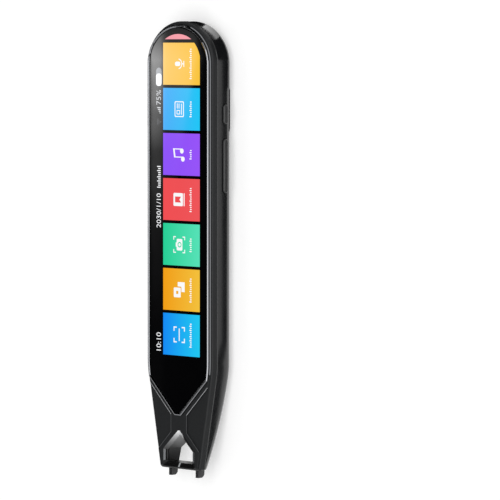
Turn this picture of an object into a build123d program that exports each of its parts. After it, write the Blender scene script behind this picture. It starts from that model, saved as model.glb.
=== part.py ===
"""Scanning translator pen, lying on its back.

X runs across the pen, +Y towards its round crown, +Z out of the screen. The origin is at the middle of
the whole pen, on the surface that it lies on. All sizes are in millimetres.
"""

from build123d import *
from math import asin, degrees, sqrt
import os

# ---- overall shape -------------------------------------------------------------------------------
pen_length = 151.2  # crown to nose end, without the prongs
prong_reach = 2.6  # how far the prongs stand out of the nose
half_width = 15.8
thickness = 10.9  # bezel ring to back plane
island_height = 0.7  # the plate on the back, which the pen lies on
crown_side_step = 2.8  # the crown's corner radius is this much under half the width
crown_bulge = 0.8  # and its top radius this much over it
nose_length = 33.9  # from where the sides start to taper
nose_half_width = 9.63
shoulder_radius = 34.0
nose_end_thickness = 5.95
nose_curve_length = 34.5  # length of the curved-up back of the nose
nose_end_round = 1.1
back_edge_radius = 3.2
band_drop = 1.15  # the band round the screen lies this far under the bezel ring
band_edge_radius = 0.9
split_depth = 3.3  # front frame meets back cover this far behind the bezel ring
split_chamfer = 0.15  # on both, along the parting line

crown_y = (pen_length + prong_reach) / 2
nose_end = crown_y - pen_length
crown_side_radius = half_width - crown_side_step
crown_top_radius = half_width + crown_bulge
back_plane = island_height
front = back_plane + thickness
band_top = front - band_drop
split_height = front - split_depth

# ---- shells --------------------------------------------------------------------------------------
wall = 1.5
floor = 1.2
nose_end_wall = 1.0
deck = 1.2  # front frame's roof
nose_wall = 2.2  # outer wall in the nose, behind its curved back
nose_hollow_reach = 30.3  # above the nose end
channel_reach = 6.3  # channels for the prongs' arms, above the nose end
fit_gap = 0.1  # between pieces that move on each other
seat_gap = 0.05  # between a piece and the pocket it is fixed in

floor_top = back_plane + floor
deck_underside = band_top - deck
nose_hollow_top = nose_end + nose_hollow_reach
channel_top = nose_end + channel_reach

# ---- screen --------------------------------------------------------------------------------------
glass_thickness = 0.65
glass_recess = 0.35  # under the bezel ring
glass_inset = 2.2  # from the pen's outline
glass_edge_round = 0.12
vee_rise = 18.2  # the screen's two 45 degree edges would meet this far above the nose end
vee_flat = 1.1  # half of its blunt tip
bezel_width = 0.8
bezel_gap = 0.1
bezel_foot = 0.4  # depth of its groove in the frame
bezel_slope = (0.3, 0.15)  # width and drop of its crowned top, on both sides
skirt = 0.25  # thin foot round the bezel ring, on the band
skirt_slope = 40  # degrees, of its outer side
tape_inset = 0.3
display_side_inset = 2.4  # from the glass's side
display_thickness = 1.5
display_rise = 36.3  # above the nose end
display_crown_inset = 3.5
display_window_gap = 0.6  # round the panel, in the frame's opening
plate_thickness = 0.45
plate_margin = 0.4
flex_thickness = 0.15

vee_y = nose_end + vee_rise
display_half_width = half_width - glass_inset - display_side_inset
display_bottom = nose_end + display_rise
glass_bottom = front - glass_recess - glass_thickness
tape_thickness = glass_bottom - band_top
display_back = glass_bottom - display_thickness
plate_back = display_back - plate_thickness

# ---- nose ----------------------------------------------------------------------------------------
cross_height = 0.5  # raised X band on the nose
cross_arm = 3.6  # its width along Y
cross_waist = 3.9  # half width
cross_leg_drop = 1.7  # its legs' outer edges would meet this far below the screen's V
cross_inset = 0.9
cross_round = 0.15
cross_top = band_top + cross_height

window_drop = 4.6  # its point, below the screen's V
window_side = 2.13  # nose material left beside it
window_lip = 0.7  # nose material left below it
window_slope = 0.933  # of its roof
window_corner = 0.8
tunnel_inset = 1.7  # sides, front edge to tunnel
tunnel_lip = 1.5  # lower edge, front to tunnel
tunnel_drop = 1.75  # its point, below the window's
tunnel_corner = 0.25
tunnel_mouth_depth = 0.75  # depth of the flare
tunnel_wall = 0.6
liner_flange = 1.85  # height of its wide front part
liner_rim = 0.1
tick_width = 0.7
tick_depth = 0.2
bar_offset = (0.1, 0.8)  # light bar, inwards from the window's side
led_offset = (0.9, 2.4)  # lamp slot, inwards from the window's side
bar_ends = (1.9, 0.2)  # above the window's lower edge, and below its shoulders
bar_bottom_depth = 0.85
led_depths = (0.15, 1.5)  # below the X band
led_thickness = 0.4
led_height = 1.0

window_apex = vee_y - window_drop
window_half_width = nose_half_width - window_side
window_shoulder = window_apex - window_half_width * window_slope
window_bottom = nose_end + window_lip
tunnel_apex = window_apex - tunnel_drop
tunnel_bottom = window_bottom + tunnel_lip
tunnel_half_width = window_half_width - tunnel_inset
tunnel_mouth = cross_top - tunnel_mouth_depth
flange_back = cross_top - liner_flange
bar_x = [window_half_width - d for d in bar_offset]
led_x = [window_half_width - d for d in reversed(led_offset)]
bar_y = (window_bottom + bar_ends[0], window_shoulder - bar_ends[1])
bar_bottom = cross_top - bar_bottom_depth
led_top = cross_top - led_depths[0]
led_bottom = cross_top - led_depths[1]
tick_y = (window_bottom + liner_rim, tunnel_bottom)

# ---- prongs and scan module ----------------------------------------------------------------------
prong_inset = 0.05  # inner faces, inside the tunnel's sides
prong_width = 1.3
prong_front_depth = 3.0  # behind the bezel ring
prong_round = 1.5
trigger_travel = 0.8
arm_width = 1.6
arm_front_depth = 2.85
arm_height = 1.5
bridge_thickness = 1.05
bridge_length = 1.8
bridge_setback = 1.45  # above the tunnel's point
scan_board_setback = 8.5  # above the bridge's lower edge
scan_board_gaps = (1.1, 0.35)  # over the floor and under the deck
notch_margin = 0.25
spring_x = 5.6  # spring on the left, switch on the right
spring_drop = 0.55  # under the bridge's underside
spring_seat = 1.2
switch_drop = 1.35
spring_radius = 1.0
spring_wire = 0.25
spring_turns = 6
camera_half_width = 3.3
camera_length = 5.8
camera_height = 3.7
camera_gap = 0.15  # under the bridge
camera_seat = 1.65
scan_rib = 6.0
rib_thickness = 1.0
rib_height = 3.1
rib_root = 0.4  # how deep ribs and bosses run into the floor
lens_radius = 1.5
aperture_radius = 1.3
lens_length = 2.2
lens_round = 0.3
board_thickness = 0.8
scan_board_half_width = 8.4
switch_size = (3.2, 2.4, 1.6)  # X, Y, Z
plunger_radius = 0.6
plunger_length = 1.0

# ---- side keys -----------------------------------------------------------------------------------
key_depth = 6.75  # behind the bezel ring
key_height = 2.0
key_proud = 0.75
key_flange = 0.5  # wider than the slot all round
key_flange_thickness = 0.7
key_travel = 0.35
key_round = 0.45
power_key_span = (27.8, 34.4)  # from the crown
volume_key_span = (39.35, 57.5)
voice_key_span = (29.6, 49.8)
rocker_relief = 0.45  # the rocker's flange ends stand off the wall
rocker_rib = 1.2
rocker_gap = 0.15  # round the rocker, in its slot
nub_radius = 0.6
nub_length = 0.25
nub_spread = 6.0  # rocker's nubs, from its middle
dome_radius = 1.0
dome_height = 0.8
key_flex_thickness = 0.2
key_flex_height = 3.2
key_bracket_thickness = 0.4
key_bracket_margin = 1.5

# ---- boards, battery and the rest ----------------------------------------------------------------
board_side_gap = 0.5  # to the key brackets
board_reach = 62.9  # from the crown
board_gap = 1.5  # to the crown's wall
board_screw_inset = 1.8
board_screw_reach = (59.7, 16.4)  # from the crown
boss_radius = 1.7
screw_radius = 0.7
screw_head_radius = 1.25
screw_head = 0.7
screw_length = 3.0
shield_size = (14.0, 24.0, 1.2)
shield_gap = 0.25  # under the display's plate
shield_reach = 38.9  # from the crown
shield_wall = 0.2
battery_side_gap = 1.8
battery_rise = 36.8  # above the nose end
battery_board_gap = 3.5
pad_thickness = 0.2
speaker_size = (16.0, 11.0)
speaker_gap = 0.5  # under the main board
speaker_reach = 49.4  # from the crown
gasket_thickness = 0.3
mesh_thickness = 0.12
grille_hole = 0.55
grille_pitch = 1.9
grille_count = (6, 3)
island_span = (22.2, 37.0)  # from the crown
island_side_inset = 2.15  # from the pen's sides, so it laps over the back's rounded edges
island_corner = 1.2
island_recess = 0.3
rear_camera_inset = 8.05  # from the island's left end
rear_camera_radius = 3.4
rear_ring_width = 0.7
rear_glass_thickness = 0.5
rear_module_size = 7.6
rear_module_gap = 0.7  # under the main board
flash_inset = 9.05  # from its right end
flash_radius = 1.7
usb_width = 8.94
usb_height = 3.16
usb_length = 7.2
usb_wall = 0.3
usb_tongue = 0.7
usb_under_board = 2.2  # how far the sunk inlet reaches below the board
mic_x = 7.6
tongue_half_width = 3.3
tongue_setback = 0.5
mic_size = (2.8, 1.9, 1.0)
mic_hole = 0.35
processor_size = (8.0, 8.0, 0.8)
memory_size = (8.0, 6.0, 0.8)
power_chip_size = (4.0, 4.0, 0.7)
power_chip_reach = 20.9  # from the crown
chip_offset = 5.5
shield_corner = 0.8
connector_height = 0.9
connector_rise = (1.5, 4.0)  # above the board's lower edge
flex_offset = (2.5, 6.5)  # scan flex on the right, display flex on the left
display_flex_inset = 8.0
antenna_half_width = 6.0
antenna_length = 8.0
battery_round = 0.9
pad_margin = 1.5
lead_half_width = 1.5
lead_thickness = 0.3
gasket_width = 1.2
island_round = 0.3
rear_ledge = 0.5
rear_ledge_height = 0.2
rear_ring_setback = 0.1
flash_led_size = (2.9, 0.8)
dome_taper = 20

nub_tip = half_width - wall - seat_gap - key_flange_thickness - nub_length
dome_base = nub_tip - key_travel - seat_gap - dome_height
key_flex_back = dome_base - key_flex_thickness
bracket_back = key_flex_back - key_bracket_thickness
board_half_width = bracket_back - board_side_gap
board_bottom_y = crown_y - board_reach
board_base = plate_back - shield_gap - shield_size[2] - board_thickness
board_top = board_base + board_thickness
board_screw_x = board_half_width - board_screw_inset
board_screw_y = [crown_y - d for d in board_screw_reach]
connector_y = [board_bottom_y + d for d in connector_rise]
scan_flex_x = flex_offset
display_flex_x = [-x for x in reversed(flex_offset)]
shield_y = crown_y - shield_reach
speaker_y = crown_y - speaker_reach
power_key_y = [crown_y - d for d in power_key_span]
volume_key_y = [crown_y - d for d in volume_key_span]
voice_key_y = [crown_y - d for d in voice_key_span]
key_z = front - key_depth
island_y = [crown_y - d for d in island_span]
island_half_width = half_width - island_side_inset
rear_camera_x = rear_camera_inset - island_half_width
flash_x = island_half_width - flash_inset
island_mid = sum(island_y) / 2
usb_z = board_base - usb_under_board + usb_height / 2
usb_end = crown_y - crown_top_radius + sqrt(crown_top_radius**2 - (usb_width / 2) ** 2) - fit_gap
usb_y = (usb_end - usb_length, usb_end)
mic_z = board_top + mic_size[2] / 2
board_screws_at = [(side * board_screw_x, y) for side in (-1, 1) for y in board_screw_y]
key_slots = ((1, power_key_y, fit_gap), (1, volume_key_y, rocker_gap), (-1, voice_key_y, fit_gap))

liner_side = tunnel_half_width + tunnel_wall
arm_inner = liner_side + fit_gap
arm_outer = arm_inner + arm_width
prong_inner = tunnel_half_width - prong_inset
prong_top = front - prong_front_depth
prong_bottom = front - nose_end_thickness
arm_top = front - arm_front_depth
arm_bottom = arm_top - arm_height
notch_top = tunnel_bottom - tunnel_wall - notch_margin
prong_root = notch_top - trigger_travel - fit_gap
arm_start = nose_end + nose_end_wall + fit_gap
bridge_top = flange_back - fit_gap
bridge_bottom = bridge_top - bridge_thickness
bridge_y = (tunnel_apex + bridge_setback, tunnel_apex + bridge_setback + bridge_length)
scan_board_front = bridge_y[0] + scan_board_setback
scan_board_y = (scan_board_front, scan_board_front + board_thickness)
scan_board_z = (floor_top + scan_board_gaps[0], deck_underside - scan_board_gaps[1])
camera_base = bridge_bottom - camera_gap - camera_height
camera_y = (scan_board_front - camera_length, scan_board_front)
lens_z = camera_base + camera_height / 2
switch_x = (spring_x - switch_size[0] / 2, spring_x + switch_size[0] / 2)
switch_z = (bridge_bottom - switch_drop, bridge_bottom - switch_drop + switch_size[2])
switch_body_y = (scan_board_front - switch_size[1], scan_board_front)
tongue_tip = switch_body_y[0] - plunger_length - trigger_travel - seat_gap
spring_z = bridge_bottom - spring_drop

FROM_BELOW = (Align.CENTER, Align.MIN)
sliver = 0.001  # what counts as no difference when edges are picked


def middle(pair):
    """Middle of a span."""
    return sum(pair) / 2


def length(pair):
    """Length of a span."""
    return abs(pair[0] - pair[1])


def box(x_span, y_span, z_span, mode=Mode.ADD):
    """Block between three spans, added to the piece that is being made."""
    with BuildSketch(Plane.XY.offset(z_span[0])) as base:
        with Locations((middle(x_span), middle(y_span))):
            Rectangle(length(x_span), length(y_span))
    return extrude(base.sketch, amount=z_span[1] - z_span[0], mode=mode)


def pen_outline(height, inset=0.0):
    """The pen's outline seen from the front, moved in by inset, at a height."""
    radius_step = crown_top_radius - crown_side_radius
    centre_shift = half_width - crown_side_radius
    side_turn = 90 - degrees(asin(centre_shift / radius_step))
    centre_drop = sqrt(radius_step**2 - centre_shift**2)
    spring_line = crown_y - crown_top_radius + centre_drop
    taper_start = nose_end + nose_length
    with BuildSketch(Plane.XY.offset(height)) as sketch:
        with BuildLine():
            right_taper = Line((nose_half_width, nose_end), (half_width, taper_start))
            right_side = Line(right_taper @ 1, (half_width, spring_line))
            right_corner = JernArc(right_side @ 1, (0, 1), crown_side_radius, side_turn)
            top = JernArc(right_corner @ 1, right_corner % 1, crown_top_radius, 180 - 2 * side_turn)
            left_corner = JernArc(top @ 1, top % 1, crown_side_radius, side_turn)
            left_side = Line(left_corner @ 1, (-half_width, taper_start))
            left_taper = Line(left_side @ 1, (-nose_half_width, nose_end))
            Line(left_taper @ 1, right_taper @ 0)
        make_face()
        shoulders = sketch.vertices().filter_by(lambda v: abs(v.Y - taper_start) < sliver)
        fillet(shoulders, shoulder_radius)
        if inset:
            offset(amount=-inset, kind=Kind.INTERSECTION, mode=Mode.REPLACE)
    return sketch.sketch


def side_profile(lift=0.0):
    """The pen seen from its side, with its back moved in by lift. The nose's back is an arc."""
    rise = thickness - nose_end_thickness
    radius = (nose_curve_length**2 + rise**2) / (2 * rise) - lift
    curve_start = nose_end + nose_curve_length
    overrun = 1.0
    turn = degrees(asin((nose_curve_length + overrun) / radius))
    back = back_plane + lift
    roof = front + overrun
    with BuildSketch(Plane.YZ) as sketch:
        with BuildLine():
            flat = Line((crown_y + overrun, back), (curve_start, back))
            curve = JernArc(flat @ 1, (-1, 0), radius, -turn)
            tip = curve @ 1
            Polyline(tip, (tip.X, roof), (crown_y + overrun, roof), flat @ 0)
        make_face()
    return sketch.sketch


def full_width(profile, mode):
    """A side view, extruded right across the pen."""
    return extrude(profile, amount=2 * half_width, both=True, mode=mode)


def pentagon(height, apex, half, bottom, grow, corner):
    """House-shaped window outline with its point up, grown by an amount, at a height."""
    shoulder = apex - half * window_slope
    with BuildSketch(Plane.XY.offset(height)) as sketch:
        with BuildLine():
            Polyline(
                (0, apex), (half, shoulder), (half, bottom), (-half, bottom), (-half, shoulder), close=True
            )
        make_face()
        if grow:
            offset(amount=grow, kind=Kind.INTERSECTION, mode=Mode.REPLACE)
        fillet(sketch.vertices(), corner)
    return sketch.sketch


def window_front(height, grow=0.0):
    """Window outline at the nose's front face."""
    return pentagon(height, window_apex, window_half_width, window_bottom, grow, window_corner)


def tunnel(height, grow=0.0):
    """Window outline along the tunnel through the nose."""
    return pentagon(height, tunnel_apex, tunnel_half_width, tunnel_bottom, grow, tunnel_corner)


def glass_outline(height, grow=0.0):
    """Outline of the screen glass: the pen's outline moved in, cut to a V below."""
    reach = 2 * half_width
    with BuildSketch(Plane.XY.offset(height)) as sketch:
        add(pen_outline(0, glass_inset))
        with BuildLine():
            Polyline(
                (-vee_flat, vee_y + vee_flat),
                (vee_flat, vee_y + vee_flat),
                (reach, vee_y + reach),
                (reach, crown_y),
                (-reach, crown_y),
                (-reach, vee_y + reach),
                close=True,
            )
        make_face(mode=Mode.INTERSECT)
        if grow:
            offset(amount=grow, kind=Kind.INTERSECTION, mode=Mode.REPLACE)
    return sketch.sketch


def cross_outline(height):
    """Outline of the nose's raised X band."""
    reach = 2 * half_width
    arm_apex = vee_y - cross_arm
    leg_apex = vee_y - cross_leg_drop
    right = [
        (reach, vee_y + reach),
        (reach, arm_apex + reach),
        (cross_waist, arm_apex + cross_waist),
        (cross_waist, leg_apex - cross_waist),
        (reach, leg_apex - reach),
    ]
    left = [(-x, y) for x, y in reversed(right)]
    with BuildSketch(Plane.XY.offset(height)) as sketch:
        with BuildLine():
            Polyline((0, vee_y), *right, *left, close=True)
        make_face()
        add(pen_outline(0, cross_inset), mode=Mode.INTERSECT)
    return sketch.sketch


def display_outline(height, grow=0.0):
    """Outline of the display panel: a long rectangle with an arched top."""
    with BuildSketch(Plane.XY.offset(height)) as sketch:
        add(pen_outline(0, display_crown_inset))
        with Locations((0, display_bottom)):
            Rectangle(2 * display_half_width, 2 * crown_y, align=FROM_BELOW, mode=Mode.INTERSECT)
        if grow:
            offset(amount=grow, kind=Kind.INTERSECTION, mode=Mode.REPLACE)
    return sketch.sketch


def save(piece, name):
    """Labels a piece and writes it to its file."""
    piece.part.label = name
    export_step(piece.part, f"parts/{name}.step")


os.makedirs("parts", exist_ok=True)

# ---- outer body, before it is split and hollowed -------------------------------------------------
with BuildPart() as body:
    extrude(pen_outline(back_plane), amount=thickness)
    full_width(side_profile(), Mode.INTERSECT)
    lower_faces = body.faces().filter_by(lambda f: f.center().Z < split_height)
    back_faces = lower_faces.filter_by(lambda f: abs(f.normal_at().Z) > 0.5)
    lower_ends = back_faces.edges().filter_by(lambda e: e.center().Y < 0)
    cross_edges = lower_ends.filter_by(lambda e: abs(e.tangent_at(0.5).X) > 1 - sliver)
    fillet([e for e in back_faces.edges() if e not in cross_edges], back_edge_radius)
    box((-half_width, half_width), (nose_end, crown_y), (band_top, front), Mode.SUBTRACT)
    end_face = body.faces().sort_by(Axis.Y)[0]
    fillet([e for e in end_face.edges() if e.center().Z < band_top - sliver], nose_end_round)
    band_face = body.faces().filter_by(Plane.XY).sort_by(Axis.Z)[-1]
    fillet(band_face.outer_wire().edges(), band_edge_radius)

# ---- hollows inside the shells -------------------------------------------------------------------
with BuildPart() as main_hollow:
    extrude(pen_outline(floor_top, wall), amount=split_height - floor_top)
    fillet(main_hollow.faces().sort_by(Axis.Z)[0].edges(), back_edge_radius - wall)
    box((-half_width, half_width), (nose_end, nose_hollow_top), (floor_top, split_height), Mode.SUBTRACT)

with BuildPart() as nose_hollow:
    extrude(pen_outline(back_plane, nose_wall), amount=split_height - back_plane)
    full_width(side_profile(floor), Mode.INTERSECT)
    box((-half_width, half_width), (nose_hollow_top, crown_y), (back_plane, split_height), Mode.SUBTRACT)


def prong_ways(mode):
    """Notches for the two prongs and channels for the arms behind them."""
    for side in (-1, 1):
        notch_x = (side * (prong_inner - fit_gap), side * (prong_inner + prong_width + fit_gap))
        box(notch_x, (nose_end - nose_end_round, notch_top), (0, prong_top + fit_gap), mode)
        channel_x = (side * liner_side, side * (arm_outer + fit_gap))
        box(channel_x, (nose_end + nose_end_wall, channel_top), (arm_bottom - fit_gap, deck_underside), mode)


def side_slot(x, y_span, grow):
    """Round-ended key outline on the pen's side, grown by an amount."""
    with BuildSketch(Plane.YZ.offset(x)) as sketch:
        with Locations((middle(y_span), key_z)):
            SlotOverall(length(y_span) + 2 * grow, key_height + 2 * grow)
    return sketch.sketch


# ---- back cover ----------------------------------------------------------------------------------
with BuildPart() as back_cover:
    add(body.part)
    split(bisect_by=Plane.XY.offset(split_height), keep=Keep.BOTTOM)
    chamfer(back_cover.faces().sort_by(Axis.Z)[-1].edges(), split_chamfer)
    add(main_hollow.part, mode=Mode.SUBTRACT)
    add(nose_hollow.part, mode=Mode.SUBTRACT)
    prong_ways(Mode.SUBTRACT)
    extrude(tunnel(0, tunnel_wall + seat_gap), amount=split_height, mode=Mode.SUBTRACT)
    # seats for the camera and its board
    box((-camera_half_width, camera_half_width), camera_y, (camera_base - camera_seat, camera_base))
    rib_y = (scan_board_y[1], scan_board_y[1] + rib_thickness)
    box((-scan_rib, scan_rib), rib_y, (floor_top - rib_root, floor_top + rib_height))
    # bosses for the main board
    with BuildSketch(Plane.XY.offset(floor_top - rib_root)):
        with Locations(*board_screws_at):
            Circle(boss_radius)
    extrude(amount=board_base - floor_top + rib_root)
    with BuildSketch(Plane.XY.offset(board_base)):
        with Locations(*board_screws_at):
            Circle(screw_radius + seat_gap)
    extrude(amount=board_top - board_base - screw_length - seat_gap, mode=Mode.SUBTRACT)
    # key slots
    for side, span, gap in key_slots:
        key_slot = side_slot(side * half_width, span, gap)
        extrude(key_slot, amount=wall + key_proud, both=True, mode=Mode.SUBTRACT)
    # island pocket, with the lens and flash holes
    with BuildSketch(Plane.XY.offset(back_plane)):
        with Locations((0, island_mid)):
            RectangleRounded(
                2 * island_half_width + 2 * seat_gap, length(island_y) + 2 * seat_gap, island_corner + seat_gap
            )
    extrude(amount=island_recess, mode=Mode.SUBTRACT)
    with BuildSketch(Plane.XY.offset(back_plane)):
        with Locations((rear_camera_x, island_mid)):
            Circle(rear_camera_radius - rear_ledge)
        with Locations((flash_x, island_mid)):
            Circle(flash_radius - rear_ledge)
    extrude(amount=floor, mode=Mode.SUBTRACT)
    # speaker grille
    with BuildSketch(Plane.XY.offset(back_plane)):
        with Locations((0, speaker_y)):
            with GridLocations(grille_pitch, grille_pitch, *grille_count):
                Circle(grille_hole)
    extrude(amount=floor, mode=Mode.SUBTRACT)
    # inlet and microphone hole in the crown
    with BuildSketch(Plane.XZ.offset(-crown_y)):
        with Locations((0, usb_z)):
            SlotOverall(usb_width + 2 * fit_gap, usb_height + 2 * fit_gap)
        with Locations((mic_x, mic_z)):
            Circle(mic_hole)
    extrude(amount=crown_y - usb_y[0], mode=Mode.SUBTRACT)
save(back_cover, "back_cover")

# ---- front frame ---------------------------------------------------------------------------------
groove_outer = bezel_gap + bezel_width + seat_gap
with BuildPart() as front_frame:
    add(body.part)
    split(bisect_by=Plane.XY.offset(split_height), keep=Keep.TOP)
    chamfer(front_frame.faces().sort_by(Axis.Z)[0].edges(), split_chamfer)
    extrude(cross_outline(band_top), amount=cross_height)
    extrude(glass_outline(band_top, groove_outer), amount=cross_height, mode=Mode.SUBTRACT)
    extrude(window_front(split_height), amount=cross_top - split_height, mode=Mode.SUBTRACT)
    cross_face = front_frame.faces().filter_by(Plane.XY).sort_by(Axis.Z)[-1]
    fillet(cross_face.edges(), cross_round)
    hollow_height = deck_underside - split_height
    extrude(pen_outline(split_height, wall), amount=hollow_height, mode=Mode.SUBTRACT)
    prong_ways(Mode.SUBTRACT)
    screen_opening = display_outline(split_height, display_window_gap)
    extrude(screen_opening, amount=band_top - split_height, mode=Mode.SUBTRACT)
    with BuildSketch(Plane.XY.offset(band_top)):
        add(glass_outline(0, groove_outer))
        add(glass_outline(0, bezel_gap - seat_gap), mode=Mode.SUBTRACT)
    extrude(amount=-bezel_foot, mode=Mode.SUBTRACT)
save(front_frame, "front_frame")

# ---- screen --------------------------------------------------------------------------------------
with BuildPart() as ring_foot:
    extrude(glass_outline(band_top, bezel_gap + bezel_width + skirt), amount=skirt, taper=skirt_slope)
    extrude(glass_outline(band_top, bezel_gap + bezel_width), amount=skirt, mode=Mode.SUBTRACT)
    extrude(cross_outline(band_top), amount=skirt, mode=Mode.SUBTRACT)

with BuildPart() as bezel_ring:
    with BuildSketch(Plane.XY.offset(band_top - bezel_foot)):
        add(glass_outline(0, bezel_gap + bezel_width))
        add(glass_outline(0, bezel_gap), mode=Mode.SUBTRACT)
    extrude(amount=front - band_top + bezel_foot)
    ring_top = bezel_ring.faces().sort_by(Axis.Z)[-1]
    chamfer(ring_top.edges(), *bezel_slope, reference=ring_top)
    add(ring_foot.part)
save(bezel_ring, "bezel_ring")

with BuildPart() as cover_glass:
    extrude(glass_outline(glass_bottom), amount=glass_thickness)
    fillet(cover_glass.faces().sort_by(Axis.Z)[-1].edges(), glass_edge_round)
save(cover_glass, "cover_glass")

with BuildPart() as display_tape:
    with BuildSketch(Plane.XY.offset(band_top)):
        add(glass_outline(0, -tape_inset))
        add(display_outline(0, display_window_gap), mode=Mode.SUBTRACT)
    extrude(amount=tape_thickness)
save(display_tape, "display_tape")

with BuildPart() as display_panel:
    extrude(display_outline(display_back), amount=display_thickness)
save(display_panel, "display_panel")

with BuildPart() as display_plate:
    extrude(display_outline(plate_back, -plate_margin), amount=plate_thickness)
save(display_plate, "display_plate")

# ---- window in the nose --------------------------------------------------------------------------
with BuildPart() as liner_blank:
    extrude(window_front(flange_back, -seat_gap), amount=liner_flange)
    extrude(tunnel(0, tunnel_wall), amount=flange_back)
    full_width(side_profile(), Mode.INTERSECT)
    extrude(tunnel(0), amount=tunnel_mouth, mode=Mode.SUBTRACT)
    loft([tunnel(tunnel_mouth), window_front(cross_top, -liner_rim)], mode=Mode.SUBTRACT)
    with BuildSketch(Plane.XZ.offset(-window_apex)):
        with Locations((0, lens_z)):
            Circle(aperture_radius)
    extrude(amount=tunnel_drop + 2 * tunnel_wall, mode=Mode.SUBTRACT)


def light_bar(side, mode=Mode.ADD):
    """Blank of the light bar in one side of the window's flare."""
    box((side * bar_x[0], side * bar_x[1]), bar_y, (bar_bottom, cross_top), mode)


def led_recess(side, mode=Mode.ADD):
    """Slot for the lamps, where the flare meets the tunnel."""
    box((side * led_x[0], side * led_x[1]), bar_y, (led_bottom, led_top), mode)


def tick_blank(mode=Mode.ADD):
    """Blank of the centre mark on the window's lower lip."""
    box((-tick_width / 2, tick_width / 2), tick_y, (tunnel_mouth - tick_depth, cross_top), mode)


with BuildPart() as window_liner:
    add(liner_blank.part)
    for side in (-1, 1):
        light_bar(side, Mode.SUBTRACT)
        led_recess(side, Mode.SUBTRACT)
    tick_blank(Mode.SUBTRACT)
save(window_liner, "window_liner")

for side, name in ((-1, "scan_light_left"), (1, "scan_light_right")):
    with BuildPart() as scan_light:
        light_bar(side)
        add(liner_blank.part, mode=Mode.INTERSECT)
    save(scan_light, name)

with BuildPart() as window_tick:
    tick_blank()
    add(liner_blank.part, mode=Mode.INTERSECT)
save(window_tick, "window_tick")

with BuildPart() as scan_leds:
    for side in (-1, 1):
        outer = side * led_x[1]
        box((outer - side * led_thickness, outer), bar_y, (led_bottom, led_bottom + led_height))
save(scan_leds, "scan_leds")

# ---- trigger fork and scan module ----------------------------------------------------------------
with BuildPart() as trigger_fork:
    for side in (-1, 1):
        prong_x = (side * prong_inner, side * (prong_inner + prong_width))
        box(prong_x, (nose_end - prong_reach, prong_root), (prong_bottom, prong_top))
    prong_tips = trigger_fork.edges().filter_by(Axis.X).group_by(Axis.Y)[0].group_by(Axis.Z)[0]
    fillet(prong_tips, prong_round)
    for side in (-1, 1):
        neck_x = (side * arm_inner, side * (prong_inner + prong_width))
        box(neck_x, (prong_root, arm_start), (arm_bottom, prong_top))
        arm_x = (side * arm_inner, side * arm_outer)
        box(arm_x, (arm_start, bridge_y[1]), (arm_bottom, arm_top))
    box((-arm_outer, arm_outer), bridge_y, (bridge_bottom, bridge_top))
    box((-spring_x - spring_seat, -spring_x + spring_seat), bridge_y, (spring_z - spring_seat, bridge_top))
    box(switch_x, (bridge_y[0], tongue_tip), (switch_z[0], bridge_top))
save(trigger_fork, "trigger_fork")

with BuildPart() as trigger_spring:
    spring_start = bridge_y[1] + spring_wire / 2 + seat_gap
    spring_run = scan_board_y[0] - spring_wire / 2 - seat_gap - spring_start
    with BuildLine() as coil:
        spring_foot = (-spring_x, spring_start, spring_z)
        Helix(spring_run / spring_turns, spring_run, spring_radius, spring_foot, (0, 1, 0))
    with BuildSketch(Plane(coil.line @ 0, z_dir=coil.line % 0)):
        Circle(spring_wire / 2)
    sweep(path=coil.line, is_frenet=True)
save(trigger_spring, "trigger_spring")

with BuildPart() as trigger_switch:
    box(switch_x, switch_body_y, switch_z)
    with BuildSketch(Plane.XZ.offset(-switch_body_y[0])):
        with Locations((middle(switch_x), middle(switch_z))):
            Circle(plunger_radius)
    extrude(amount=plunger_length)
save(trigger_switch, "trigger_switch")

with BuildPart() as scan_camera:
    box((-camera_half_width, camera_half_width), camera_y, (camera_base, camera_base + camera_height))
save(scan_camera, "scan_camera")

with BuildPart() as scan_lens:
    with BuildSketch(Plane.XZ.offset(-camera_y[0])):
        with Locations((0, lens_z)):
            Circle(lens_radius)
    extrude(amount=lens_length)
    fillet(scan_lens.faces().sort_by(Axis.Y)[0].edges(), lens_round)
save(scan_lens, "scan_lens")

with BuildPart() as scan_board:
    box((-scan_board_half_width, scan_board_half_width), scan_board_y, scan_board_z)
save(scan_board, "scan_board")

with BuildPart() as scan_flex:
    box(scan_flex_x, (scan_board_y[1], connector_y[1]), (board_top, board_top + flex_thickness))
save(scan_flex, "scan_flex")


# ---- side keys -----------------------------------------------------------------------------------
def side_key(name, side, y_span, rocker):
    """A key with its inner flange and its nubs. A rocker's flange stands off the wall at its ends."""
    flange_face = half_width - wall - seat_gap
    relief = rocker_relief if rocker else 0.0
    nub_y = [middle(y_span) - nub_spread, middle(y_span) + nub_spread] if rocker else [middle(y_span)]
    with BuildPart() as key:
        cap_end = side * (half_width + key_proud)
        extrude(side_slot(cap_end, y_span, 0), amount=-side * (cap_end * side - flange_face + relief))
        outer_face = key.faces().filter_by(Axis.X).sort_by(Axis.X)[-1 if side > 0 else 0]
        fillet(outer_face.edges(), key_round)
        flange_x = (side * (flange_face - key_flange_thickness), side * (flange_face - relief))
        flange_y = (min(y_span) - key_flange, max(y_span) + key_flange)
        flange_z = (key_z - key_height / 2 - key_flange, key_z + key_height / 2 + key_flange)
        box(flange_x, flange_y, flange_z)
        if rocker:
            rib_y = (middle(y_span) - rocker_rib / 2, middle(y_span) + rocker_rib / 2)
            box((flange_x[0], side * flange_face), rib_y, flange_z)
        with BuildSketch(Plane.YZ.offset(flange_x[0])):
            with Locations(*[(y, key_z) for y in nub_y]):
                Circle(nub_radius)
        extrude(amount=-side * nub_length)
    save(key, name)
    return nub_y


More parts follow.
